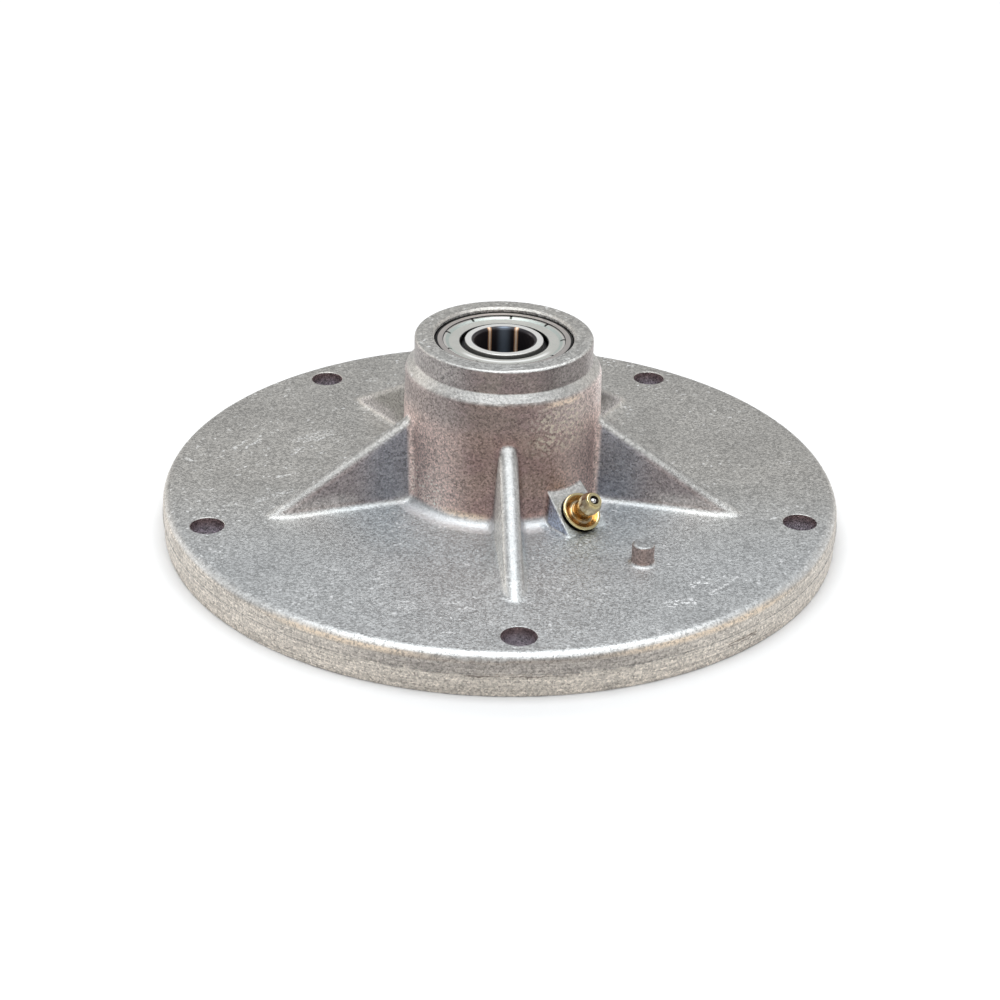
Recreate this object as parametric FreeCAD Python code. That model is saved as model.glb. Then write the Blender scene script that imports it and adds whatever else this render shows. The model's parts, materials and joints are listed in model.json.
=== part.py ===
import FreeCAD, Part
import math
import os

Vector = FreeCAD.Vector
up = Vector(0, 0, 1)
origin = Vector(0, 0, 0)

# Ball bearing sizes, millimetres
bearing_outside = 40.0
bearing_bore = 17.0
bearing_width = 12.0
ball_diameter = 6.747
ball_count = 8
inner_land = 24.5
outer_land = 32.8
race_conformity = 0.52
race_clearance = 0.05
ring_edge = 0.9
inner_step_diameter = 22.4
inner_step_depth = 1.9

# Bearing shield
shield_sheet = 0.4
shield_recess = 0.25
shield_outside = 34.9
shield_lip_inside = 33.5
shield_drop = 0.4
shield_step_run = 0.95
shield_bore = 25.2
shield_notch_count = 9
shield_notch_width = 0.5
shield_notch_length = 0.7
shield_seat_depth = 1.5

# Ball cage
cage_sheet = 0.6
cage_width = 2.7
pocket_clearance = 0.1
rivet_diameter = 1.0
rivet_head_diameter = 1.7
rivet_head_height = 0.35

# Hub of the casting
hub_height = 58.7
collar_diameter = 51.0
collar_height = 6.6
collar_edge = 0.9
shoulder_fall = 3.0
shoulder_edge = 3.0
hub_body_diameter = 56.2
hub_draft = 1.1
hub_base_fillet = 4.2
bearing_recess = 1.3
mouth_chamfer = 0.6
cavity_step = 2.2

# Flange of the casting
flange_diameter = 196.8
flange_thickness = 12.5
rim_draft = 2.0
rim_edge = 2.8
rim_foot_edge = 0.5
parting_height = 6.6
parting_ridge = 0.15
parting_ridge_width = 0.5
pocket_depth = 5.5
pocket_wall = 11.0
pocket_land = 23.0
pocket_draft = 8.0
pocket_corner = 2.5
bolt_count = 5
bolt_edge_distance = 10.1
bolt_hole = 9.7
bolt_hole_edge = 0.2
first_azimuth = -90.0

# Ribs between hub and flange
rib_top = 37.6
rib_tip_setback = 26.8
rib_ridge_width = 4.9
rib_draft = 3.6
rib_ridge_edge = 2.4
rib_foot_fillet = 2.3
rib_sink = 3.0

# Cast pin on the flange
pin_setback = 36.6
pin_diameter = 6.2
pin_height = 6.0
pin_edge = 0.8
pin_foot_fillet = 1.4

# Grease boss and its drilled passage
boss_tilt = 49.0
boss_stand_out = 6.24
boss_face_rise = 3.7
boss_width = 14.4
boss_draft = 5.5
boss_edge = 0.5
boss_foot_fillet = 1.0
passage_diameter = 3.0
passage_land = 0.5

# Grease fitting, measured outward from the boss face
shank_diameter = 6.35
shank_length = 4.6
shank_hole_spare = 1.8
fitting_seat = 7.8
fitting_rim = 11.5
fitting_rim_low = 1.2
fitting_rim_high = 1.9
fitting_rim_width = 0.6
fitting_dish = 7.4
fitting_dish_floor = 1.1
fitting_neck = 5.9
fitting_neck_top = 4.9
fitting_head = 6.3
fitting_head_low = 5.5
fitting_head_high = 7.4
fitting_length = 9.2
fitting_nose = 4.5
fitting_bore = 2.7
fitting_bore_lip = 1.6
fitting_lip_height = 0.6
check_ball = 2.2
check_seat = 1.9
check_seat_depth = 0.5
check_clearance = 0.05
spring_wire = 0.3
spring_diameter = 1.9
spring_turns = 9
spring_gap = 0.15

# Spacer tube between the inner rings
spacer_outside = 22.4
spacer_bore_gap = 0.3
spacer_end_play = 0.1

# Values that follow from the sizes above
ball_radius = ball_diameter / 2
pitch_radius = (bearing_outside + bearing_bore) / 4
race_radius = race_conformity * ball_diameter
seat_radius = bearing_outside / 2
cavity_radius = seat_radius - cavity_step
lower_bearing_bottom = bearing_recess
lower_bearing_top = lower_bearing_bottom + bearing_width
upper_bearing_top = hub_height - bearing_recess
upper_bearing_bottom = upper_bearing_top - bearing_width
collar_radius = collar_diameter / 2
collar_foot = hub_height - collar_height
body_radius = hub_body_diameter / 2
body_spread = math.tan(math.radians(hub_draft)) * (collar_foot - flange_thickness)
hub_base_radius = body_radius + body_spread
flange_radius = flange_diameter / 2
bolt_radius = flange_radius - bolt_edge_distance
rib_tip_radius = flange_radius - rib_tip_setback
pin_radius_out = flange_radius - pin_setback
boss_face_radius = hub_base_radius + boss_stand_out
boss_face_height = flange_thickness + boss_face_rise
feature_step = 360.0 / bolt_count
boss_azimuth = first_azimuth + feature_step / 2
passage_height = lower_bearing_top + passage_land + passage_diameter / 2


def rounded_wire(corners):
    """Closed wire in the XZ plane; every corner is x, z and its rounding radius."""
    count = len(corners)
    starts = []
    middles = []
    ends = []
    for index in range(count):
        x, z, radius = corners[index]
        here = Vector(x, 0, z)
        before = corners[index - 1]
        after = corners[(index + 1) % count]
        to_before = (Vector(before[0], 0, before[1]) - here).normalize()
        to_after = (Vector(after[0], 0, after[1]) - here).normalize()
        if radius == 0:
            starts.append(here)
            middles.append(None)
            ends.append(here)
            continue
        half = to_before.getAngle(to_after) / 2
        reach = radius / math.tan(half)
        bisector = (to_before + to_after).normalize()
        centre = here + bisector * (radius / math.sin(half))
        starts.append(here + to_before * reach)
        middles.append(centre - bisector * radius)
        ends.append(here + to_after * reach)
    edges = []
    for index in range(count):
        if middles[index] is not None:
            edges.append(Part.Arc(starts[index], middles[index], ends[index]).toShape())
        following = starts[(index + 1) % count]
        if ends[index].distanceToPoint(following) > 1e-6:
            edges.append(Part.makeLine(ends[index], following))
    return Part.Wire(edges)


def turned(corners):
    """Solid made by turning a rounded profile about the Z axis."""
    face = Part.Face(rounded_wire(corners))
    return face.revolve(origin, up, 360)


def around(shape, azimuth):
    """Copy of a shape turned about the Z axis."""
    copy = shape.copy()
    copy.rotate(origin, up, azimuth)
    return copy


def moved(shape, height):
    """Copy of a shape moved along Z."""
    copy = shape.copy()
    copy.translate(Vector(0, 0, height))
    return copy


def flat_faced(loops):
    """Solid bounded by flat faces, each a loop of points that turns left seen from outside."""
    faces = []
    for loop in loops:
        faces.append(Part.Face(Part.makePolygon(loop + [loop[0]])))
    shell = Part.makeShell(faces)
    shell.sewShape()
    return Part.makeSolid(shell)


def prism_between(first, second):
    """Solid between two loops with the same number of points."""
    loops = [list(reversed(first)), second]
    count = len(first)
    for index in range(count):
        following = (index + 1) % count
        loops.append([first[index], first[following], second[following], second[index]])
    return flat_faced(loops)


def edges_on_both(shape, first, second):
    """Edges of a fused shape that lie on the skins of both of its parts."""
    found = []
    for edge in shape.Edges:
        middle = edge.valueAt((edge.FirstParameter + edge.LastParameter) / 2)
        vertex = Part.Vertex(middle)
        on_first = first.Shells[0].distToShape(vertex)[0] < 1e-4
        on_second = second.Shells[0].distToShape(vertex)[0] < 1e-4
        if on_first and on_second:
            found.append(edge)
    return found


def joined(base, addition, fillet):
    """Base with a piece fused on and the join rounded."""
    fused = base.fuse(addition).removeSplitter()
    return fused.makeFillet(fillet, edges_on_both(fused, base, addition))


def rim_sectors(inside):
    """Outer band of the flange, turned in three equal sectors."""
    rim_height = flange_thickness - parting_height
    top_radius = flange_radius - rim_height * math.tan(math.radians(rim_draft))
    foot_radius = flange_radius - parting_height * math.tan(math.radians(rim_draft))
    ridge_radius = flange_radius + parting_ridge
    ridge_low = parting_height - parting_ridge_width / 2
    ridge_high = parting_height + parting_ridge_width / 2
    face = Part.Face(rounded_wire([
        (inside, flange_thickness, 0),
        (top_radius, flange_thickness, rim_edge),
        (flange_radius, ridge_high, 0),
        (ridge_radius, ridge_high, 0),
        (ridge_radius, ridge_low, 0),
        (flange_radius, ridge_low, 0),
        (foot_radius, 0, rim_foot_edge),
        (inside, 0, 0),
    ]))
    return [around(face, azimuth).revolve(origin, up, 120) for azimuth in (0, 120, 240)]


def casting_body():
    """Turned form of the casting: hub, bore, flange and underside pocket."""
    pocket_inner = seat_radius + pocket_wall
    pocket_outer = flange_radius - pocket_land
    lean = pocket_depth * math.tan(math.radians(pocket_draft))
    shoulder_height = collar_foot - shoulder_fall
    rim_inside = (pocket_outer + flange_radius) / 2
    middle = turned([
        (seat_radius + mouth_chamfer, 0, 0),
        (seat_radius, mouth_chamfer, 0),
        (seat_radius, lower_bearing_top, 0),
        (cavity_radius, lower_bearing_top, 0),
        (cavity_radius, upper_bearing_bottom, 0),
        (seat_radius, upper_bearing_bottom, 0),
        (seat_radius, hub_height - mouth_chamfer, 0),
        (seat_radius + mouth_chamfer, hub_height, 0),
        (collar_radius, hub_height, collar_edge),
        (collar_radius, collar_foot, collar_edge),
        (body_radius, shoulder_height, shoulder_edge),
        (hub_base_radius, flange_thickness, hub_base_fillet),
        (rim_inside, flange_thickness, 0),
        (rim_inside, 0, 0),
        (pocket_outer, 0, 0),
        (pocket_outer - lean, pocket_depth, pocket_corner),
        (pocket_inner + lean, pocket_depth, pocket_corner),
        (pocket_inner, 0, 0),
    ])
    return middle.fuse(rim_sectors(rim_inside)).removeSplitter()


def rib():
    """Sloping rib along +X, sunk into the hub wall and the flange."""
    foot = flange_thickness - rib_sink
    start = (seat_radius + body_radius) / 2
    run = rib_tip_radius - body_radius
    slope = (rib_top - flange_thickness) / run
    finish = rib_tip_radius + rib_sink / slope * 0.6
    spread = math.tan(math.radians(rib_draft))
    half = rib_ridge_width / 2

    def section(radius):
        ridge = flange_thickness + slope * (rib_tip_radius - radius)
        wide = half + (ridge - foot) * spread
        return [
            Vector(radius, -wide, foot),
            Vector(radius, wide, foot),
            Vector(radius, half, ridge),
            Vector(radius, -half, ridge),
        ]

    solid = prism_between(section(start), section(finish))
    ridges = []
    for edge in solid.Edges:
        low, high = edge.Vertexes[0].Point, edge.Vertexes[1].Point
        along = abs(low.x - high.x) > 1
        on_ridge = abs(abs(low.y) - half) < 1e-6 and abs(abs(high.y) - half) < 1e-6
        if along and on_ridge:
            ridges.append(edge)
    return solid.makeFillet(rib_ridge_edge, ridges)


def cast_pin():
    """Short upright pin along +X with a rounded top."""
    low = flange_thickness - rib_sink
    corners = [
        (0, low, 0),
        (pin_diameter / 2, low, 0),
        (pin_diameter / 2, flange_thickness + pin_height, pin_edge),
        (0, flange_thickness + pin_height, 0),
    ]
    pin = turned(corners)
    pin.translate(Vector(pin_radius_out, 0, 0))
    return pin


def fitting_frame(shape):
    """Carry a shape from the fitting's own axis to the grease boss."""
    copy = shape.copy()
    copy.rotate(origin, Vector(0, 1, 0), 90 - boss_tilt)
    copy.translate(Vector(boss_face_radius, 0, boss_face_height))
    return around(copy, boss_azimuth)


def boss_block():
    """Wedge along +X whose tilted face carries the grease fitting."""
    tilt = math.radians(boss_tilt)
    low = flange_thickness - rib_sink
    start = (cavity_radius + body_radius) / 2
    rise = (boss_face_radius - start) / math.tan(tilt)
    high = boss_face_height + rise
    reach = boss_face_radius + (boss_face_height - low) * math.tan(tilt)
    spread = math.tan(math.radians(boss_draft))
    wide_low = boss_width / 2 + (flange_thickness - low) * spread
    wide_high = boss_width / 2 - (high - flange_thickness) * spread
    top_left = Vector(start, wide_high, high)
    top_right = Vector(start, -wide_high, high)
    back_left = Vector(start, wide_low, low)
    back_right = Vector(start, -wide_low, low)
    front_left = Vector(reach, wide_low, low)
    front_right = Vector(reach, -wide_low, low)
    solid = flat_faced([
        [back_left, back_right, top_right, top_left],
        [front_left, front_right, back_right, back_left],
        [top_left, top_right, front_right, front_left],
        [front_left, back_left, top_left],
        [back_right, front_right, top_right],
    ])
    slopes = []
    for edge in solid.Edges:
        first, second = edge.Vertexes[0].Point, edge.Vertexes[1].Point
        if abs(first.x - second.x) > 1 and abs(first.z - second.z) > 1:
            slopes.append(edge)
    return solid.makeFillet(boss_edge, slopes)


def spindle_housing():
    """The whole casting with its machined holes."""
    body = casting_body()
    for index in range(bolt_count):
        azimuth = first_azimuth + index * feature_step
        body = joined(body, around(rib(), azimuth), rib_foot_fillet)
    body = joined(body, around(boss_block(), boss_azimuth), boss_foot_fillet)
    body = joined(body, around(cast_pin(), boss_azimuth), pin_foot_fillet)
    hole_radius = bolt_hole / 2
    edge_low = flange_thickness - bolt_hole_edge
    for index in range(bolt_count):
        drill = Part.makeCylinder(hole_radius, flange_thickness + 2, Vector(bolt_radius, 0, -1))
        bevel = Part.makeCone(
            hole_radius, hole_radius + 2 * bolt_hole_edge, 2 * bolt_hole_edge,
            Vector(bolt_radius, 0, edge_low),
        )
        cutter = around(drill.fuse(bevel), first_azimuth + index * feature_step)
        body = body.cut(cutter)
    depth = shank_length + shank_hole_spare
    shank_hole = Part.makeCylinder(shank_diameter / 2, depth + fitting_length, Vector(0, 0, -depth))
    body = body.cut(fitting_frame(shank_hole))
    inner = cavity_radius - 2
    outer = boss_face_radius - shank_diameter / 2
    passage = Part.makeCylinder(
        passage_diameter / 2, outer - inner, Vector(inner, 0, passage_height), Vector(1, 0, 0)
    )
    return body.cut(around(passage, boss_azimuth))


def outer_ring():
    """Bearing outer ring centred on the origin, shielded side up."""
    half = bearing_width / 2
    land = outer_land / 2
    groove_depth = pitch_radius + ball_radius + race_clearance
    seat = shield_outside / 2
    blank = turned([
        (land, -half, 0.3),
        (seat_radius, -half, ring_edge),
        (seat_radius, half, ring_edge),
        (seat, half, 0),
        (seat, half - shield_seat_depth, 0),
        (land, half - shield_seat_depth, 0.2),
    ])
    groove = Part.makeTorus(groove_depth - race_radius, race_radius)
    return blank.cut(groove)


def inner_ring():
    """Bearing inner ring centred on the origin."""
    half = bearing_width / 2
    bore = bearing_bore / 2
    land = inner_land / 2
    step = inner_step_diameter / 2
    groove_depth = pitch_radius - ball_radius - race_clearance
    blank = turned([
        (bore, -half, ring_edge),
        (step, -half, 0.25),
        (step, -half + inner_step_depth, 0),
        (land, -half + inner_step_depth, 0.2),
        (land, half - inner_step_depth, 0.2),
        (step, half - inner_step_depth, 0),
        (step, half, 0.25),
        (bore, half, ring_edge),
    ])
    groove = Part.makeTorus(groove_depth + race_radius, race_radius)
    return blank.cut(groove)


def shield():
    """Stepped metal shield crimped into the outer ring."""
    top = bearing_width / 2 - shield_recess
    outside = shield_outside / 2
    lip = shield_lip_inside / 2
    bore = shield_bore / 2
    low = top - shield_drop
    seat = bearing_width / 2 - shield_seat_depth
    bend = 0.15
    body = turned([
        (outside, seat, 0),
        (outside, top, bend),
        (lip, top, bend),
        (lip - shield_step_run, low, bend),
        (bore, low, 0),
        (bore, low - shield_sheet, 0),
        (lip - shield_step_run, low - shield_sheet, 0),
        (lip, top - shield_sheet, 0),
        (outside - shield_sheet, top - shield_sheet, 0),
        (outside - shield_sheet, seat, 0),
    ])
    for index in range(shield_notch_count):
        notch = Part.makeBox(
            shield_notch_length + 1, shield_notch_width, shield_recess + shield_sheet,
            Vector(outside - shield_notch_length, -shield_notch_width / 2, top - shield_sheet / 2),
        )
        body = body.cut(around(notch, index * 360.0 / shield_notch_count))
    return body


def ball_at(index):
    """One bearing ball in its place on the pitch circle."""
    ball = Part.makeSphere(ball_radius, Vector(pitch_radius, 0, 0))
    return around(ball, index * 360.0 / ball_count)


def rivet_azimuths():
    """Azimuths half way between neighbouring balls."""
    step = 360.0 / ball_count
    return [(index + 0.5) * step for index in range(ball_count)]


def cage_half():
    """Upper half of the pressed ball cage."""
    inside = pitch_radius - cage_width / 2
    outside = pitch_radius + cage_width / 2
    pocket = ball_radius + pocket_clearance
    cup = pocket + cage_sheet
    band = Part.makeCylinder(outside, cup + 1).cut(Part.makeCylinder(inside, cup + 1))
    blank = Part.makeCylinder(outside + 1, cage_sheet)
    hollow = []
    cups = []
    for index in range(ball_count):
        azimuth = index * 360.0 / ball_count
        place = Vector(pitch_radius, 0, 0)
        cups.append(around(Part.makeSphere(cup, place), azimuth))
        hollow.append(around(Part.makeSphere(pocket, place), azimuth))
    half = blank.fuse(cups).common(band)
    for cutter in hollow:
        half = half.cut(cutter)
    for azimuth in rivet_azimuths():
        hole = Part.makeCylinder(rivet_diameter / 2, 2 * cage_sheet, Vector(pitch_radius, 0, -cage_sheet / 2))
        half = half.cut(around(hole, azimuth))
    return half


def cage_rivets():
    """Eight rivets that hold the two cage halves together."""
    rivets = []
    length = 2 * cage_sheet
    for azimuth in rivet_azimuths():
        corners = [
            (0, -length / 2 - rivet_head_height, 0),
            (rivet_head_diameter / 2, -length / 2 - rivet_head_height, 0.2),
            (rivet_head_diameter / 2, -length / 2, 0),
            (rivet_diameter / 2, -length / 2, 0),
            (rivet_diameter / 2, length / 2, 0),
            (rivet_head_diameter / 2, length / 2, 0),
            (rivet_head_diameter / 2, length / 2 + rivet_head_height, 0.2),
            (0, length / 2 + rivet_head_height, 0),
        ]
        rivet = turned(corners)
        rivet.translate(Vector(pitch_radius, 0, 0))
        rivets.append(around(rivet, azimuth))
    return Part.makeCompound(rivets)


def spacer_tube():
    """Tube that stands on the lower inner ring."""
    bore = bearing_bore / 2 + spacer_bore_gap
    outside = spacer_outside / 2
    low = lower_bearing_top
    high = upper_bearing_bottom - spacer_end_play
    return turned([
        (bore, low, 0),
        (outside, low, 0.4),
        (outside, high, 0.4),
        (bore, high, 0),
    ])


def check_ball_height():
    """Centre of the check ball along the fitting axis."""
    ball = check_ball / 2
    seat = check_seat / 2
    return fitting_length - check_seat_depth - math.sqrt(ball ** 2 - seat ** 2) - check_clearance


def fitting_body():
    """Grease fitting along +Z, with its shoulder on the plane z = 0."""
    shank = shank_diameter / 2
    rim = fitting_rim / 2
    neck = fitting_neck / 2
    head = fitting_head / 2
    bore = fitting_bore / 2
    lip = fitting_bore_lip / 2
    seat = check_seat / 2
    seat_height = fitting_length - check_seat_depth
    cone_height = bore - seat
    return turned([
        (lip, -shank_length, 0),
        (shank, -shank_length, 0.5),
        (shank, 0, 0),
        (fitting_seat / 2, 0, 0.2),
        (rim, fitting_rim_low, 0.2),
        (rim, fitting_rim_high, 0.3),
        (rim - fitting_rim_width, fitting_rim_high, 0.25),
        (fitting_dish / 2, fitting_dish_floor, 0.4),
        (neck, fitting_dish_floor, 0.3),
        (neck, fitting_neck_top, 0.5),
        (head, fitting_head_low, 0.4),
        (head, fitting_head_high, 0.4),
        (fitting_nose / 2, fitting_length, 0.3),
        (seat + 0.25, fitting_length, 0),
        (seat, fitting_length - 0.2, 0),
        (seat, seat_height, 0),
        (bore, seat_height - cone_height, 0),
        (bore, -shank_length + fitting_lip_height, 0),
        (lip, -shank_length + fitting_lip_height, 0),
    ])


def fitting_spring():
    """Coil spring under the check ball."""
    ball = check_ball / 2
    coil = spring_diameter / 2
    low = -shank_length + fitting_lip_height + spring_wire / 2 + 0.02
    touch = check_ball_height() - math.sqrt(ball ** 2 - coil ** 2)
    high = touch - spring_wire / 2 - spring_gap
    path = Part.makeHelix((high - low) / spring_turns, high - low, coil)
    wire = Part.Wire(path.Edges)
    section = Part.Wire(Part.makeCircle(spring_wire / 2, Vector(coil, 0, 0), Vector(0, 1, 0)))
    spring = wire.makePipeShell([section], True, True)
    return moved(spring, low)


def write(node, shape):
    """Save one node."""
    shape.exportStep("parts/" + node + ".step")


def write_bearing(name, centre, flipped):
    """Save every piece of one bearing; a flipped bearing shows its shield below."""

    def placed(shape):
        copy = shape.copy()
        if flipped:
            copy.rotate(origin, Vector(1, 0, 0), 180)
        return moved(copy, centre)

    upper_half = cage_half()
    lower_half = upper_half.copy()
    lower_half.rotate(origin, Vector(1, 0, 0), 180)
    write(name + "_outer_ring", placed(outer_ring()))
    write(name + "_inner_ring", placed(inner_ring()))
    write(name + "_shield", placed(shield()))
    write(name + "_cage_shield_half", placed(upper_half))
    write(name + "_cage_open_half", placed(lower_half))
    write(name + "_cage_rivets", placed(cage_rivets()))
    for index in range(ball_count):
        write(name + "_ball_" + str(index + 1), placed(ball_at(index)))


os.makedirs("parts", exist_ok=True)
write("spindle_housing", spindle_housing())
write_bearing("upper_bearing", upper_bearing_bottom + bearing_width / 2, False)
write_bearing("lower_bearing", lower_bearing_bottom + bearing_width / 2, True)
write("bearing_spacer", spacer_tube())
write("grease_fitting_body", fitting_frame(fitting_body()))
check_ball_shape = Part.makeSphere(check_ball / 2, Vector(0, 0, check_ball_height()))
write("grease_check_ball", fitting_frame(check_ball_shape))
write("grease_check_spring", fitting_frame(fitting_spring()))
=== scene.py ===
import bpy
import json
import math
import random
from mathutils import Matrix, Vector


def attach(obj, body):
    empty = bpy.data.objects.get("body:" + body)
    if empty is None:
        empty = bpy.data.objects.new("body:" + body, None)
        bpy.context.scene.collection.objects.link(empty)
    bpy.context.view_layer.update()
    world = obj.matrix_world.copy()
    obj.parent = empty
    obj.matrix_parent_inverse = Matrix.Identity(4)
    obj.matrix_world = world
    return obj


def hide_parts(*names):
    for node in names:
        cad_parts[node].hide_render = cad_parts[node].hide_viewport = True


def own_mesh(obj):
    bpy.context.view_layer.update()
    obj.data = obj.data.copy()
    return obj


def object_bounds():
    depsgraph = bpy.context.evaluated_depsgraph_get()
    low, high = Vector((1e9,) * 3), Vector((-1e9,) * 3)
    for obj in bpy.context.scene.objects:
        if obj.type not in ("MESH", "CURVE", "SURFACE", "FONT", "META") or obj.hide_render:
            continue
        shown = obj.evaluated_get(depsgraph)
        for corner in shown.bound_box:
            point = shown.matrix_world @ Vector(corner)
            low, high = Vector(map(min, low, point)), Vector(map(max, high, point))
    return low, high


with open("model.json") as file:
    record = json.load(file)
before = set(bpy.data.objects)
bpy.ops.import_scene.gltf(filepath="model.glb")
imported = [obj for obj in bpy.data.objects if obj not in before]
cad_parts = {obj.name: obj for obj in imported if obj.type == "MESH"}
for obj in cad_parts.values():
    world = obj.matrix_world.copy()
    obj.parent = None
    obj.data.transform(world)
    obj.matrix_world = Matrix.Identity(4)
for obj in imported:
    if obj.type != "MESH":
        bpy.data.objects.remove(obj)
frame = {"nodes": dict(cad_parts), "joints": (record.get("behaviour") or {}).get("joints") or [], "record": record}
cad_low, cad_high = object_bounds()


def named(rows, name):
    """The row of a list in the frame that has this name."""
    return next(row for row in rows if row["name"] == name)


# Radius of the flange's rim
rim_radius = cad_high[0]

# Way the grease fitting points, and how far its check ball can be pressed in
check_ball_press = named(frame["joints"], "check_ball_press")
fitting_axis = -Vector(check_ball_press["axis"])

# Where the grease fitting leaves its boss, found from its tip
fitting_length = 0.0092
fitting_tip = Vector(named(frame["record"]["mounts"], "grease_nipple")["pos_m"])
fitting_foot = fitting_tip - fitting_axis * fitting_length

# Nicks and scratches on top of the flange, as start and end points in millimetres
flange_marks = [
    (-31.8, -70.0, -26.6, -71.1), (-19.2, -71.8, -13.9, -71.8), (-14.0, -74.4, -9.8, -74.5),
    (-33.0, -76.7, -27.7, -75.8), (-30.8, -73.2, -29.0, -74.2), (-20.4, -86.5, -16.0, -86.6),
    (53.2, -67.1, 62.1, -58.0), (72.3, -53.1, 77.2, -47.0), (85.1, 10.1, 88.7, 11.4),
    (75.7, -25.3, 77.8, -24.8), (-79.3, 20.2, -75.4, 26.9), (-76.0, 20.8, -71.5, 27.6),
    (-58.8, 24.7, -53.7, 28.8), (-55.2, 26.1, -48.9, 30.9), (-93.2, 14.9, -90.7, 12.9),
    (-88.0, -5.7, -83.1, -5.1), (-71.5, -13.9, -67.3, -10.9), (-65.8, 1.7, -59.4, 4.8),
    (-51.5, 40.7, -49.6, 38.6), (-62.1, 16.7, -57.8, 22.0),
]

# Scuffed patches on top of the flange, as start and end points and half widths in millimetres
flange_smudges = [
    (47.6, -62.6, 54.0, -61.8, 2.0), (39.8, -72.6, 48.6, -71.2, 2.8),
    (52.4, -67.4, 54.6, -66.4, 1.2), (-32.5, -73.4, -26.4, -72.6, 1.8),
    (-62.0, 26.0, -50.0, 33.0, 2.4), (-72.0, -12.5, -60.0, -6.0, 2.2),
]


class Nodes:
    """A material's node tree with short calls to add and link nodes."""

    # Numbers of a colour mix node's sockets
    mix_factor = 0
    mix_first = 6
    mix_second = 7
    mix_result = 2

    def __init__(self, name):
        self.material = bpy.data.materials.new(name)
        self.material.use_nodes = True
        self.tree = self.material.node_tree
        self.tree.nodes.clear()
        self.output = self.tree.nodes.new("ShaderNodeOutputMaterial")
        self.shader = self.tree.nodes.new("ShaderNodeBsdfPrincipled")
        self.link(self.shader.outputs["BSDF"], self.output.inputs["Surface"])

    def link(self, source, target):
        self.tree.links.new(source, target)

    def feed(self, value, target):
        """Link a node's output to an input, or set the input to a fixed value."""
        if isinstance(value, bpy.types.NodeSocket):
            self.link(value, target)
        else:
            target.default_value = value

    def place(self):
        """The point's place in metres."""
        return self.tree.nodes.new("ShaderNodeTexCoord").outputs["Object"]

    def normal(self):
        return self.tree.nodes.new("ShaderNodeNewGeometry").outputs["Normal"]

    def parts(self, vector):
        """The x, y and z of a vector."""
        node = self.tree.nodes.new("ShaderNodeSeparateXYZ")
        self.link(vector, node.inputs[0])
        return node.outputs

    def joined(self, x, y, z):
        """The vector of an x, y and z."""
        node = self.tree.nodes.new("ShaderNodeCombineXYZ")
        for value, target in zip((x, y, z), node.inputs):
            self.feed(value, target)
        return node.outputs[0]

    def math(self, kind, first, second=0.0):
        node = self.tree.nodes.new("ShaderNodeMath")
        node.operation = kind
        self.feed(first, node.inputs[0])
        self.feed(second, node.inputs[1])
        return node.outputs[0]

    def chain(self, kind, values):
        """One sum, product or largest value of several values."""
        result = values[0]
        for value in values[1:]:
            result = self.math(kind, result, value)
        return result

    def plus(self, *values):
        return self.chain("ADD", values)

    def times(self, *values):
        return self.chain("MULTIPLY", values)

    def largest(self, *values):
        return self.chain("MAXIMUM", values)

    def rest(self, value):
        """What a value lacks to 1."""
        return self.math("SUBTRACT", 1.0, value)

    def stretched(self, vector, scale):
        node = self.tree.nodes.new("ShaderNodeMapping")
        self.link(vector, node.inputs["Vector"])
        node.inputs["Scale"].default_value = scale
        return node.outputs[0]

    def noise(self, vector, scale, detail=2.0, roughness=0.5, distortion=0.0):
        node = self.tree.nodes.new("ShaderNodeTexNoise")
        self.link(vector, node.inputs["Vector"])
        node.inputs["Scale"].default_value = scale
        node.inputs["Detail"].default_value = detail
        node.inputs["Roughness"].default_value = roughness
        node.inputs["Distortion"].default_value = distortion
        return node.outputs["Fac"]

    def cells(self, vector, scale):
        """A random value from 0 to 1 in every cell of an irregular pattern."""
        node = self.tree.nodes.new("ShaderNodeTexVoronoi")
        self.link(vector, node.inputs["Vector"])
        node.inputs["Scale"].default_value = scale
        split = self.tree.nodes.new("ShaderNodeSeparateColor")
        self.link(node.outputs["Color"], split.inputs[0])
        return split.outputs[0]

    def ramp(self, value, low, high, from_value=0.0, to_value=1.0):
        """A smooth step of the value, from from_value at low to to_value at high."""
        node = self.tree.nodes.new("ShaderNodeMapRange")
        node.interpolation_type = "SMOOTHSTEP"
        self.feed(value, node.inputs["Value"])
        node.inputs["From Min"].default_value = low
        node.inputs["From Max"].default_value = high
        node.inputs["To Min"].default_value = from_value
        node.inputs["To Max"].default_value = to_value
        return node.outputs["Result"]

    def band(self, value, low, high, soft):
        """A mask that is 1 between low and high, with soft ends."""
        rise = self.ramp(value, low - soft, low + soft)
        fall = self.ramp(value, high + soft, high - soft)
        return self.times(rise, fall)

    def mix(self, factor, first, second, kind="MIX"):
        node = self.tree.nodes.new("ShaderNodeMix")
        node.data_type = "RGBA"
        node.blend_type = kind
        self.feed(factor, node.inputs[self.mix_factor])
        self.feed(first, node.inputs[self.mix_first])
        self.feed(second, node.inputs[self.mix_second])
        return node.outputs[self.mix_result]

    def shaded(self, colour, amount):
        """The colour made lighter or darker by an amount about 1."""
        return self.mix(1.0, colour, self.joined(amount, amount, amount), "MULTIPLY")

    def bump(self, height, distance, strength, normal=None):
        node = self.tree.nodes.new("ShaderNodeBump")
        node.inputs["Distance"].default_value = distance
        node.inputs["Strength"].default_value = strength
        self.link(height, node.inputs["Height"])
        if normal is not None:
            self.link(normal, node.inputs["Normal"])
        return node.outputs["Normal"]

    def radius(self, x, y):
        """Distance from the shaft axis."""
        return self.math("SQRT", self.plus(self.times(x, x), self.times(y, y)))

    def azimuth(self, x, y):
        """Azimuth from -180 to 180 degrees, 0 at +X."""
        return self.times(self.math("ARCTAN2", y, x), 180 / math.pi)

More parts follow.
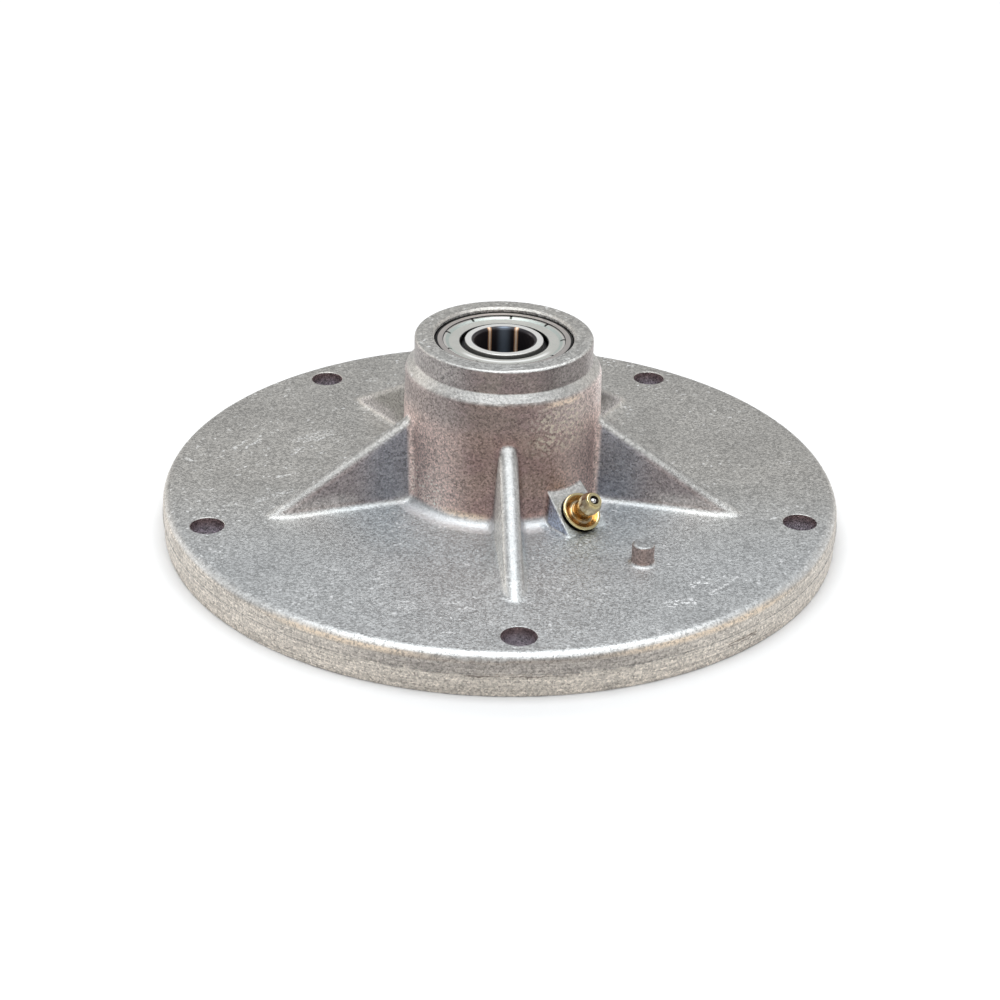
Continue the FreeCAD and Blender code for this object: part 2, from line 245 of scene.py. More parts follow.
    def front_azimuth(self, x, y):
        """Azimuth whose break lies behind the object, at +Y, from -270 to 90 degrees."""
        from_front = self.math("ARCTAN2", x, self.times(y, -1.0))
        return self.math("SUBTRACT", self.times(from_front, 180 / math.pi), 90.0)

    def stroke(self, x, y, mark, wobble, width):
        """A mask that is 1 along a line between two points given in millimetres."""
        end_fade = 0.55
        full_length = 0.40
        full_width = 0.3
        start_x, start_y, end_x, end_y = [value / 1000 for value in mark]
        length = math.hypot(end_x - start_x, end_y - start_y)
        along_x = (end_x - start_x) / length
        along_y = (end_y - start_y) / length
        middle_x = (start_x + end_x) / 2
        middle_y = (start_y + end_y) / 2
        from_x = self.math("SUBTRACT", x, middle_x)
        from_y = self.math("SUBTRACT", y, middle_y)
        along = self.plus(self.times(from_x, along_x), self.times(from_y, along_y))
        across = self.math("SUBTRACT", self.times(from_y, along_x), self.times(from_x, along_y))
        across = self.plus(across, wobble)
        inside = self.ramp(self.math("ABSOLUTE", along), length * end_fade, length * full_length)
        near = self.ramp(self.math("ABSOLUTE", across), width, width * full_width)
        return self.times(inside, near)

    def finish(self, colour, roughness, normal=None, metallic=1.0):
        """Feed the shader and give back the material."""
        self.feed(colour, self.shader.inputs["Base Color"])
        self.feed(roughness, self.shader.inputs["Roughness"])
        self.feed(metallic, self.shader.inputs["Metallic"])
        if normal is not None:
            self.link(normal, self.shader.inputs["Normal"])
        return self.material


def fitting_place(n, x, y, z):
    """How far a point lies along the grease fitting's axis and away from it."""
    from_x = n.math("SUBTRACT", x, fitting_foot.x)
    from_y = n.math("SUBTRACT", y, fitting_foot.y)
    from_z = n.math("SUBTRACT", z, fitting_foot.z)
    along_x = n.times(from_x, fitting_axis.x)
    along_y = n.times(from_y, fitting_axis.y)
    along_z = n.times(from_z, fitting_axis.z)
    up = n.plus(along_x, along_y, along_z)
    squared = n.plus(n.times(from_x, from_x), n.times(from_y, from_y), n.times(from_z, from_z))
    out = n.math("SQRT", n.largest(n.math("SUBTRACT", squared, n.times(up, up)), 0.0))
    return up, out


class Spot:
    """Where a point of the casting lies, with masks of the features there."""

    # Edges by radius or height in metres, or by slope: where a mask starts, and where it is full
    upright_edge = (0.72, 0.30)
    hub_edge = (0.0306, 0.0291)
    hub_bore_edge = (0.0230, 0.0215)
    bolt_hole_edge = (0.0810, 0.0830)
    rim_edge = (0.0935, 0.0955)
    seat_edge = (0.0209, 0.0204)
    boss_foot_edge = (0.0100, 0.0120)
    flange_top_edge = (0.0080, 0.0100)

    # Bands by radius or height in metres, or by azimuth in degrees: first, last and how soft the ends are
    boss_radii = (0.0305, 0.0420, 0.0004)
    boss_azimuths = (-72, -36, 1.0)
    pin_radii = (0.0575, 0.0661, 0.0003)
    pin_azimuths = (-58, -50, 0.4)
    seat_heights = (0.053, 0.0573, 0.0002)

    def __init__(self, n):
        self.place = n.place()
        self.x, self.y, self.z = n.parts(self.place)
        self.radius = n.radius(self.x, self.y)
        self.azimuth = n.front_azimuth(self.x, self.y)
        self.facing = n.math("ABSOLUTE", n.parts(n.normal())[2])
        self.upright = n.ramp(self.facing, *self.upright_edge)
        self.hub = n.ramp(self.radius, *self.hub_edge)
        self.hub_bore = n.ramp(self.radius, *self.hub_bore_edge)
        self.bolt_hole = n.ramp(self.radius, *self.bolt_hole_edge)
        self.rim = n.ramp(self.radius, *self.rim_edge)
        self.seat = n.times(n.ramp(self.radius, *self.seat_edge), n.band(self.z, *self.seat_heights))
        self.pin = n.times(n.band(self.radius, *self.pin_radii), n.band(self.azimuth, *self.pin_azimuths))
        self.boss = n.times(n.band(self.radius, *self.boss_radii), n.band(self.azimuth, *self.boss_azimuths))
        self.boss = n.times(self.boss, n.ramp(self.z, *self.boss_foot_edge))
        self.flange_top = n.times(n.rest(self.upright), n.ramp(self.z, *self.flange_top_edge))


def flange_nicks(n, at):
    """Pale nicks of the flange: scratches, smudges, scuffs that run one way and scattered flecks."""
    scratch_width = 0.00055
    wander_width = 0.0026
    scuff_cosine = 0.79
    scuff_sine = 0.62
    grain_along = 190
    grain_across = 900
    wander = n.times(n.math("SUBTRACT", n.noise(at.place, 420, 2, 0.5), 0.5), wander_width)
    broken = n.ramp(n.noise(at.place, 1300, 2, 0.6), 0.40, 0.55)
    scratch = n.largest(*[n.stroke(at.x, at.y, mark, wander, scratch_width) for mark in flange_marks])
    scratch = n.times(scratch, broken, 0.55)

    ragged = n.ramp(n.noise(at.place, 950, 3, 0.65), 0.50, 0.60)
    smudge = n.largest(*[n.stroke(at.x, at.y, mark[:4], wander, mark[4] / 1000) for mark in flange_smudges])
    smudge = n.times(smudge, ragged, n.ramp(at.x, -0.005, 0.005, 0.5, 0.85))

    along = n.plus(n.times(at.x, scuff_cosine), n.times(at.y, scuff_sine))
    across = n.math("SUBTRACT", n.times(at.y, scuff_cosine), n.times(at.x, scuff_sine))
    grain = n.joined(n.times(along, grain_along), n.times(across, grain_across), 0.0)
    scuffs = n.ramp(n.noise(grain, 1.0, 2, 0.6), 0.64, 0.74)
    scuffs = n.times(scuffs, n.ramp(at.x, -0.015, -0.040), n.ramp(at.y, -0.045, -0.010))
    scuffs = n.times(scuffs, n.ramp(n.noise(at.place, 70, 2, 0.5), 0.42, 0.58), broken, 0.7)

    where = n.ramp(n.noise(at.place, 55, 2, 0.5), 0.42, 0.60, 0.25, 1.0)
    cloud = n.noise(at.place, 300, 2, 0.5)
    flecks = n.times(n.ramp(n.cells(at.place, 1400), 0.94, 0.99), where, n.ramp(cloud, 0.3, 0.6, 0.15, 0.6))
    return n.times(n.largest(scratch, smudge, scuffs, flecks), at.flange_top)


def rib_colour(n, at):
    """Rib flanks with painted light: blue grey by the hub, brown grey farther out, painted lit and shaded flanks
    on the back ribs, a painted pale foot and a pale front rib whose flanks are painted lit and shaded.
    """
    blue_grey = (0.32, 0.33, 0.37, 1)
    brown_grey = (0.38, 0.345, 0.355, 1)
    back_left = (0.40, 0.39, 0.37, 1)
    back_right = (0.31, 0.295, 0.29, 1)
    pale_foot = (0.62, 0.60, 0.60, 1)
    front_left = (0.76, 0.75, 0.72, 1)
    front_right = (0.51, 0.50, 0.49, 1)
    front_rib_azimuths = (-97, -83, 3)
    colour = n.mix(n.ramp(at.radius, 0.036, 0.048), blue_grey, brown_grey)
    # Painted light: the back ribs' flanks lighter on the left, darker on the right
    back = n.mix(n.ramp(at.x, -0.01, 0.01), back_left, back_right)
    colour = n.mix(n.ramp(at.y, 0.0, 0.012), colour, back)
    # Painted light: paler foot of the ribs near the flange
    foot = n.times(n.ramp(at.z, 0.0190, 0.0150), n.ramp(at.radius, 0.042, 0.052), 0.8)
    colour = n.mix(foot, colour, pale_foot)
    # Painted light: the front rib's left flank lit, its right flank shaded
    front = n.mix(n.ramp(at.x, -0.0005, 0.0005), front_left, front_right)
    return n.mix(n.band(at.azimuth, *front_rib_azimuths), colour, front)


def hub_colour(n, at, patchy):
    """Hub wall with painted light: painted reflections make it brown in front and paler at the sides and low down,
    a painted highlight runs down the right edge, painted shade dims it near the top; grey inside.
    """
    brown = (0.36, 0.277, 0.265, 1)
    light_brown = (0.38, 0.305, 0.278, 1)
    left = (0.69, 0.605, 0.580, 1)
    right = (0.57, 0.485, 0.46, 1)
    right_edge_highlight = (0.84, 0.73, 0.70, 1)
    low_tint = (0.95, 0.89, 0.87, 1)
    collar_tint = (0.99, 1.06, 1.08, 1)
    back = (0.46, 0.39, 0.37, 1)
    inside = (0.70, 0.70, 0.69, 1)
    colour = n.mix(n.ramp(patchy, 0.4, 0.6), brown, light_brown)
    # Painted reflection: paler on the left and right sides
    colour = n.mix(n.ramp(at.azimuth, -106, -134), colour, left)
    colour = n.mix(n.ramp(at.azimuth, -76, -46), colour, right)
    # Painted light: lighter low down
    colour = n.shaded(colour, n.ramp(at.z, 0.034, 0.018, 1.0, 1.3))
    # Painted highlight along the right edge
    colour = n.mix(n.ramp(at.azimuth, -34, -16), colour, right_edge_highlight)
    # Painted shade near the top: on the left, in the middle and on the collar's right
    painted_shade_left = n.plus(n.ramp(at.azimuth, -72, -84, 0.0, 0.2), n.ramp(at.azimuth, -100, -130, 0.0, 0.21))
    painted_shade_left = n.times(painted_shade_left, n.ramp(at.z, 0.037, 0.045))
    painted_shade_right = n.times(n.ramp(at.azimuth, -86, -60, 0.0, 0.45), n.ramp(at.z, 0.0495, 0.0510))
    colour = n.shaded(colour, n.rest(n.plus(painted_shade_left, painted_shade_right)))
    colour = n.mix(n.ramp(at.z, 0.044, 0.038), colour, low_tint, "MULTIPLY")
    colour = n.mix(n.ramp(at.z, 0.0485, 0.0510), colour, collar_tint, "MULTIPLY")
    colour = n.mix(n.ramp(at.y, 0.004, 0.022), colour, back)
    return n.mix(at.hub_bore, colour, inside)


def rim_colour(n, at, patchy):
    """Rim: painted shade makes the upper half darker, most of all in front; streaks run along the rim; a dark
    painted shadow lies along the parting seam at two places.
    """
    upper_side = (0.59, 0.55, 0.50, 1)
    upper_front = (0.38, 0.355, 0.33, 1)
    lower_side = (0.64, 0.595, 0.54, 1)
    lower_front = (0.56, 0.52, 0.47, 1)
    seam_shadow_brown = (0.10, 0.075, 0.065, 1)
    front_azimuths = (-116, -66, 13)
    front_seam_azimuths = (-98.5, -81, 1.0)
    front_seam_heights = (0.0061, 0.0065, 0.0001)
    right_seam_azimuths = (-55.2, -48.6, 0.5)
    right_seam_heights = (0.0036, 0.0040, 0.0001)
    streaks_round = 76
    streaks_up = 2300
    uneven = n.times(n.math("SUBTRACT", n.noise(at.place, 330, 3, 0.6), 0.5), 0.004)
    # Painted shade: the upper half darker than the lower, most of all in front
    below = n.ramp(n.plus(at.z, uneven), 0.0072, 0.0062)
    front = n.band(at.azimuth, *front_azimuths)
    colour = n.mix(below, n.mix(front, upper_side, upper_front), n.mix(front, lower_side, lower_front))
    flow = n.joined(n.times(at.x, streaks_round), n.times(at.y, streaks_round), n.times(at.z, streaks_up))
    colour = n.shaded(colour, n.ramp(n.noise(flow, 1.0, 2, 0.6), 0.32, 0.68, 0.84, 1.14))
    wavy = n.plus(at.z, n.times(uneven, 0.5))
    # Painted shadow along the parting seam under the flash
    front_seam = n.times(n.band(at.azimuth, *front_seam_azimuths), n.band(wavy, *front_seam_heights))
    right_seam = n.times(n.band(at.azimuth, *right_seam_azimuths), n.band(wavy, *right_seam_heights))
    seam = n.times(n.largest(front_seam, right_seam), n.ramp(patchy, 0.35, 0.6, 0.35, 0.75))
    return n.mix(seam, colour, seam_shadow_brown)


def wall_colour(n, at):
    """Colour of the upright faces: hub, ribs, boss, pin, bolt holes and rim; much of it is painted reflection and
    painted shade.
    """
    boss_blue = (0.62, 0.67, 0.80, 1)
    pin_brown = (0.42, 0.34, 0.32, 1)
    hole_top = (0.37, 0.29, 0.29, 1)
    hole_deep = (0.62, 0.58, 0.62, 1)
    patchy = n.noise(at.place, 130, 2, 0.5)
    colour = n.mix(at.hub, rib_colour(n, at), hub_colour(n, at, patchy))
    colour = n.mix(at.boss, colour, boss_blue)
    colour = n.mix(at.pin, colour, pin_brown)
    hole = n.mix(n.ramp(at.z, 0.0118, 0.0080), hole_top, hole_deep)
    colour = n.mix(at.bolt_hole, colour, hole)
    return n.mix(at.rim, colour, rim_colour(n, at, patchy))


def level_colour(n, at):
    """Colour of the level faces, with painted light: cool in front and warmer behind, a painted bluish reflection
    by the hub in front and painted shade on the rib ridges.
    """
    front = (0.597, 0.607, 0.607, 1)
    behind = (0.580, 0.564, 0.532, 1)
    bluish = (0.555, 0.600, 0.618, 1)
    cloud = n.noise(at.place, 60, 3, 0.55)
    # Painted light: cooler in front, warmer behind
    colour = n.mix(n.ramp(at.y, -0.055, 0.008), front, behind)
    # Painted reflection: bluish patch by the hub, in front only
    near_hub = n.times(n.ramp(at.radius, 0.062, 0.044), n.ramp(at.y, -0.006, -0.020))
    near_hub = n.times(near_hub, n.ramp(at.z, 0.0165, 0.0140), 0.7)
    colour = n.mix(near_hub, colour, bluish)
    colour = n.shaded(colour, n.ramp(cloud, 0.32, 0.68, 0.95, 1.05))
    # Painted shade that darkens the tops of the rib ridges
    ridge = n.times(n.ramp(at.z, 0.0150, 0.0170), n.ramp(at.radius, 0.0297, 0.0310))
    return n.shaded(colour, n.ramp(ridge, 0.0, 1.0, 1.0, 0.84))


def painted_warm_light(n, at):
    """Where painted warm light gives the casting a peach tint: foot and shoulder of the hub, top edge of the rim.
    """
    rim_edge_heights = (0.0102, 0.0116, 0.0007)
    foot_heights = (0.0140, 0.0156, 0.0008)
    shoulder_heights = (0.0478, 0.0492, 0.0005)
    rim_sides = n.largest(n.band(at.azimuth, -74, -42, 8), n.band(at.azimuth, -130, -106, 7))
    warm_rim = n.times(n.band(at.z, *rim_edge_heights), at.rim, rim_sides, 0.8)
    warm_foot = n.times(n.band(at.azimuth, -126, -102, 6), n.band(at.z, *foot_heights), 0.8)
    warm_shoulder = n.times(n.band(at.azimuth, -66, -44, 6), n.band(at.z, *shoulder_heights), 0.6)
    return n.largest(warm_rim, n.times(at.hub, n.largest(warm_foot, warm_shoulder)))


def hub_scuffs(n, at):
    """Cream scuffs on the right of the hub wall."""
    where = n.times(n.band(at.azimuth, -76, -40, 9), n.band(at.z, 0.034, 0.047, 0.004), at.hub)
    return n.times(where, n.ramp(n.noise(at.place, 1000, 3, 0.6), 0.48, 0.62), 0.6)


def painted_foot_highlight(n, at):
    """Painted highlight: a pale ring where the hub's foot meets the flange in front, but not at the boss."""
    ring = n.times(n.band(at.radius, 0.0296, 0.0340, 0.0010), n.ramp(at.z, 0.0165, 0.0145))
    return n.times(ring, n.ramp(at.y, -0.012, -0.018), n.rest(at.boss), 0.55)


def fitting_shadow(n, at):
    """Painted shadow on the boss round the collar of the grease fitting, under its rim."""
    up, out = fitting_place(n, at.x, at.y, at.z)
    return n.times(n.band(up, -0.0006, 0.0005, 0.0001), n.ramp(out, 0.0060, 0.0056))


def cast_aluminium():
    """Aluminium casting: salt and pepper grain and pale nicks, with painted light: a brown hub and a darker upper
    rim from painted reflection and shade, painted highlights and warm light at edges, painted shade in the bearing
    seat and a painted shadow under the grease fitting.
    """
    scuff_cream = (0.86, 0.80, 0.66, 1)
    peach = (1.0, 0.83, 0.64, 1)
    foot_highlight_white = (0.90, 0.91, 0.92, 1)
    rim_highlight_white = (0.96, 0.96, 0.95, 1)
    nick_white = (0.93, 0.94, 0.94, 1)
    seat_shade_black = (0.012, 0.012, 0.014, 1)
    shadow_black = (0.015, 0.014, 0.015, 1)
    n = Nodes("cast_aluminium")
    at = Spot(n)
    # Upright faces differ in colour from level ones by painted reflection
    colour = n.mix(at.upright, level_colour(n, at), wall_colour(n, at))

    speckle = n.plus(n.times(n.cells(at.place, 1850), 0.6), n.times(n.cells(at.place, 3000), 0.4))
    contrast = n.plus(0.66, n.times(at.upright, n.ramp(at.hub, 0.0, 1.0, 0.40, 0.50)))
    swing = n.times(n.math("SUBTRACT", speckle, 0.5), contrast)
    colour = n.shaded(colour, n.plus(swing, 1.0))

    warm = n.times(painted_warm_light(n, at), n.ramp(speckle, 0.2, 0.6, 0.4, 1.0))
    foot = painted_foot_highlight(n, at)
    # Painted highlight along the rim's rounded top edge in front
    rim_highlight = n.times(at.rim, n.band(at.facing, 0.60, 0.97, 0.03), n.band(at.azimuth, -122, -58, 12))
    rim_highlight = n.times(rim_highlight, 0.6, n.ramp(speckle, 0.15, 0.5))
    nicks = flange_nicks(n, at)
    colour = n.mix(hub_scuffs(n, at), colour, scuff_cream)
    # Painted warm light: peach tint at the edges
    colour = n.mix(warm, colour, peach)
    # Painted highlight at the hub's foot in front
    colour = n.mix(foot, colour, foot_highlight_white)
    colour = n.mix(rim_highlight, colour, rim_highlight_white)
    colour = n.mix(nicks, colour, nick_white)
    # Painted shade in the gap of the bearing seat
    colour = n.mix(at.seat, colour, seat_shade_black)
    # Painted shadow under the grease fitting's rim
    colour = n.mix(fitting_shadow(n, at), colour, shadow_black)

    roughness = n.ramp(speckle, 0.2, 0.8, 0.46, 0.58)
    dull = n.largest(n.times(nicks, 0.75), n.times(warm, 0.85), n.times(foot, 0.3))
    normal = n.bump(n.noise(at.place, 1500, 2, 0.6), 0.00018, 0.6)
    normal = n.bump(speckle, 0.00006, 0.5, normal)
    normal = n.bump(n.noise(at.place, 150, 2, 0.5), 0.0005, 0.22, normal)
    return n.finish(colour, roughness, normal, n.rest(dull))


def flash_aluminium():
    """Dusty casting flash."""
    light_dust = (0.46, 0.42, 0.37, 1)
    dark_dust = (0.30, 0.26, 0.23, 1)
    n = Nodes("flash_aluminium")
    place = n.place()
    speckle = n.cells(place, 2400)
    patchy = n.noise(place, 700, 3, 0.6)
    colour = n.mix(n.ramp(patchy, 0.4, 0.6), light_dust, dark_dust)
    colour = n.shaded(colour, n.ramp(speckle, 0.0, 1.0, 0.75, 1.2))
    normal = n.bump(patchy, 0.0002, 0.6)
    return n.finish(colour, 0.55, normal)


def ground_steel(name, light, dark, rough, turns):
    """Ground or turned steel with fine rings about the shaft axis."""
    speck_brown = (0.2, 0.19, 0.18, 1)
    n = Nodes(name)
    place = n.place()
    x, y, z = n.parts(place)
    radius = n.radius(x, y)
    track = n.joined(n.times(radius, turns), n.times(z, turns * 0.6), 0.0)
    lines = n.noise(track, 1.0, 2, 0.6)
    smear = n.noise(place, 160, 3, 0.6)
    specks = n.noise(place, 1300, 2, 0.6)
    colour = n.mix(n.ramp(lines, 0.3, 0.7), dark, light)
    colour = n.mix(n.ramp(smear, 0.5, 0.8, 0.0, 0.3), colour, dark)
    colour = n.mix(n.ramp(specks, 0.66, 0.72, 0.0, 0.35), colour, speck_brown)
    roughness = n.plus(n.ramp(smear, 0.3, 0.8, rough, rough + 0.14), n.times(lines, 0.05))
    normal = n.bump(lines, 0.00004, 0.25)
    return n.finish(colour, roughness, normal)


def painted_bore_light(n, azimuth, smear):
    """Bore of the inner ring in painted light: near black painted shade, a blue grey painted reflection in the
    middle and two copper painted reflections.
    """
    bore_shade_black = (0.028, 0.024, 0.028, 1)
    blue_grey = (0.18, 0.22, 0.28, 1)
    copper = (0.95, 0.55, 0.32, 1)
    pale_copper_highlight = (1.0, 0.88, 0.72, 1)
    # Painted shade in the bore, with a painted blue grey reflection on the far wall
    colour = n.mix(n.band(azimuth, 78, 96, 8), bore_shade_black, blue_grey)
    # Painted reflections: two copper streaks with pale cores
    streak = n.largest(n.band(azimuth, 112.5, 118.5, 2.4), n.band(azimuth, 59.5, 66, 2.4))
    core = n.largest(n.band(azimuth, 114.5, 116.5, 1.2), n.band(azimuth, 61.5, 64, 1.2))
    streak = n.times(streak, n.ramp(smear, 0.2, 0.5, 0.8, 1.0))
    colour = n.mix(streak, colour, copper)
    return n.mix(core, colour, pale_copper_highlight), streak


def bearing_ring(name, inner):
    """Ground bearing ring; its outer corners are painted black as shade in the gaps, and the inner ring's bore has
    painted shade and painted reflections.
    """
    ground_dark = (0.84, 0.83, 0.80, 1)
    ground_light = (0.94, 0.93, 0.90, 1)
    smeared = (0.66, 0.69, 0.67, 1)
    gap_shade_black = (0.010, 0.010, 0.012, 1)
    brownish = (0.76, 0.66, 0.61, 1)
    seat_black = (0.05, 0.05, 0.05, 1)
    inner_corner_edge = (0.01105, 0.01130)
    inner_bore_edge = (0.00945, 0.00925)
    outer_corner_edge = (0.01885, 0.01908)
    shield_seat_edge = (0.01758, 0.01750)
    n = Nodes(name)
    place = n.place()
    x, y = n.parts(place)[:2]
    radius = n.radius(x, y)
    lines = n.noise(n.joined(n.times(radius, 7000), 0.0, 0.0), 1.0, 2, 0.6)
    smear = n.noise(place, 200, 3, 0.6)
    colour = n.mix(n.ramp(lines, 0.3, 0.7), ground_dark, ground_light)
    colour = n.mix(n.ramp(smear, 0.5, 0.75, 0.0, 0.3), colour, smeared)
    metallic = 1.0
    if inner:
        # Painted shade: the inner ring's outer wall black, in the gap by the shield
        colour = n.mix(n.ramp(radius, *inner_corner_edge), colour, gap_shade_black)
        bore = n.ramp(radius, *inner_bore_edge)
        bore_light_colour, streak = painted_bore_light(n, n.azimuth(x, y), smear)
        colour = n.mix(bore, colour, bore_light_colour)
        metallic = n.math("SUBTRACT", 0.65, n.times(bore, n.ramp(streak, 0.0, 1.0, 0.35, 0.65)))
    else:
        colour = n.mix(0.5, colour, brownish)
        # Painted shade in the gap between the outer ring and the housing
        colour = n.mix(n.ramp(radius, *outer_corner_edge), colour, gap_shade_black)
        colour = n.mix(n.ramp(radius, *shield_seat_edge), colour, seat_black)
    roughness = n.ramp(smear, 0.3, 0.8, 0.30, 0.42)
    normal = n.bump(lines, 0.00004, 0.2)
    return n.finish(colour, roughness, normal, metallic)


def pressed_sheet(name, light, dark, rough):
    """Pressed sheet steel with faint draw marks and scuffs."""
    scuff_white = (0.88, 0.89, 0.87, 1)
    n = Nodes(name)
    place = n.place()
    wide = n.noise(place, 90, 3, 0.6)
    fine = n.noise(n.stretched(place, (1.0, 1.0, 0.3)), 900, 4, 0.65)
    scuff = n.noise(place, 520, 5, 0.7, 1.0)
    colour = n.mix(n.ramp(wide, 0.35, 0.7), light, dark)
    colour = n.mix(n.ramp(fine, 0.4, 0.75, 0.0, 0.3), colour, dark)
    colour = n.mix(n.ramp(scuff, 0.64, 0.72, 0.0, 0.5), colour, scuff_white)
    roughness = n.ramp(fine, 0.3, 0.8, rough, rough + 0.14)
    normal = n.bump(fine, 0.00005, 0.25)
    return n.finish(colour, roughness, normal)


def bearing_shield():
    """Bearing shield: cream sheet with a painted highlight in front, a teal painted reflection on the step, a pale
    lip, dark crimp notches and painted shade at its hole.
    """
    cream = (0.95, 0.94, 0.88, 1)
    dull_cream = (0.88, 0.88, 0.82, 1)
    speck_grey = (0.62, 0.64, 0.62, 1)
    teal = (0.55, 0.68, 0.64, 1)
    lip_white = (0.95, 0.91, 0.87, 1)
    notch_black = (0.05, 0.05, 0.045, 1)
    crimp_black = (0.03, 0.03, 0.03, 1)
    highlight_white = (1.0, 1.0, 0.98, 1)
    hole_rim_shade = (0.05, 0.05, 0.05, 1)
    half_notch_pitch = 20.0
    notch_edge = (1.6, 0.9)
    notch_start_edge = (0.01590, 0.01610)
    step_radii = (0.01575, 0.01670, 0.00012)
    lip_edge = (0.01670, 0.01682)
    crimp_edge = (0.01732, 0.01742)
    highlight_radii = (0.0138, 0.0148, 0.0003)
    hole_edge = (0.01284, 0.01276)
    n = Nodes("bearing_shield")
    place = n.place()
    x, y = n.parts(place)[:2]
    radius = n.radius(x, y)
    wide = n.noise(place, 120, 3, 0.6)
    fine = n.noise(place, 1400, 2, 0.6)
    colour = n.mix(n.ramp(wide, 0.35, 0.7), cream, dull_cream)
    colour = n.mix(n.ramp(fine, 0.5, 0.7, 0.0, 0.2), colour, speck_grey)
    step = n.band(radius, *step_radii)
    # Painted reflection: teal band on the step
    colour = n.mix(n.times(step, 0.5), colour, teal)
    lip = n.ramp(radius, *lip_edge)
    colour = n.mix(n.times(lip, 0.6), colour, lip_white)
    from_notch = n.math("PINGPONG", n.azimuth(x, y), half_notch_pitch)
    notch = n.times(n.ramp(from_notch, *notch_edge), n.ramp(radius, *notch_start_edge))
    colour = n.mix(notch, colour, notch_black)
    colour = n.mix(n.ramp(radius, *crimp_edge), colour, crimp_black)
    # Painted highlight on the front of the shield
    front_highlight = n.times(n.band(radius, *highlight_radii), n.ramp(y, -0.006, -0.011), 0.8)
    colour = n.mix(front_highlight, colour, highlight_white)
    # Painted shade at the edge of the shield's hole, next to the gap
    colour = n.mix(n.ramp(radius, *hole_edge), colour, hole_rim_shade)
    roughness = n.ramp(fine, 0.3, 0.8, 0.34, 0.44)
    normal = n.bump(fine, 0.00004, 0.2)
    metallic = n.math("SUBTRACT", 0.9, n.times(front_highlight, 0.6))
    return n.finish(colour, roughness, normal, metallic)


def yellow_zinc():
    """Yellow zinc plate: pale gold rim, a painted copper reflection in the dish, bronze neck and head, painted
    black shade in the mouth.
    """
    dark_bronze = (0.50, 0.38, 0.21, 1)
    light_bronze = (0.66, 0.56, 0.40, 1)
    pale_gold = (0.92, 0.82, 0.50, 1)
    deep_gold = (0.84, 0.68, 0.34, 1)
    light_copper_reflection = (0.62, 0.32, 0.09, 1)
    dark_copper_reflection = (0.30, 0.16, 0.05, 1)
    mouth_shade_black = (0.02, 0.015, 0.01, 1)
    stain_brown = (0.30, 0.21, 0.11, 1)
    dish_edge = (0.0034, 0.0038)
    collar_edge = (0.0048, 0.0052)
    tip_edge = (0.0084, 0.0088)
    mouth_floor_edge = (0.0078, 0.0080)
    mouth_wall_edge = (0.00138, 0.00128)
    n = Nodes("yellow_zinc")
    place = n.place()
    x, y, z = n.parts(place)
    up, out = fitting_place(n, x, y, z)
    drift = n.noise(place, 300, 3, 0.6, 0.6)
    fine = n.noise(place, 1600, 2, 0.6)
    cloudy = n.ramp(drift, 0.35, 0.65)
    bronze = n.mix(cloudy, dark_bronze, light_bronze)
    gold = n.mix(cloudy, pale_gold, deep_gold)
    # Painted reflection: copper in the dish
    copper = n.mix(cloudy, light_copper_reflection, dark_copper_reflection)
    colour = n.mix(n.ramp(out, *dish_edge), bronze, copper)
    colour = n.mix(n.ramp(out, *collar_edge), colour, gold)
    colour = n.mix(n.ramp(up, *tip_edge), colour, gold)
    # Painted shade in the mouth round the check ball
    mouth = n.times(n.ramp(up, *mouth_floor_edge), n.ramp(out, *mouth_wall_edge))
    colour = n.mix(mouth, colour, mouth_shade_black)
    colour = n.mix(n.ramp(fine, 0.58, 0.72, 0.0, 0.35), colour, stain_brown)
    roughness = n.ramp(fine, 0.3, 0.8, 0.16, 0.30)
    normal = n.bump(fine, 0.00004, 0.25)
    return n.finish(colour, roughness, normal)


def polished_ball():
    """Polished ball with faint smears."""
    clean = (0.84, 0.84, 0.85, 1)
    smeared = (0.68, 0.68, 0.70, 1)
    n = Nodes("polished_ball")
    place = n.place()
    smear = n.noise(place, 500, 3, 0.6, 0.8)
    colour = n.mix(n.ramp(smear, 0.4, 0.8), clean, smeared)
    roughness = n.ramp(smear, 0.35, 0.8, 0.05, 0.16)
    return n.finish(colour, roughness)


def pale_floor():
    """Plain pale studio floor."""
    pale_grey = (0.88, 0.88, 0.88, 1)
    paler_grey = (0.90, 0.90, 0.90, 1)
    n = Nodes("pale_floor")
    place = n.place()
    soft = n.noise(place, 6, 2, 0.5)
    colour = n.mix(n.ramp(soft, 0.3, 0.7), pale_grey, paler_grey)
    return n.finish(colour, 0.8, metallic=0.0)


def dress(name, material):
    """Give a CAD node its material."""
    piece = frame["nodes"][name]
    piece.data.materials.clear()
    piece.data.materials.append(material)


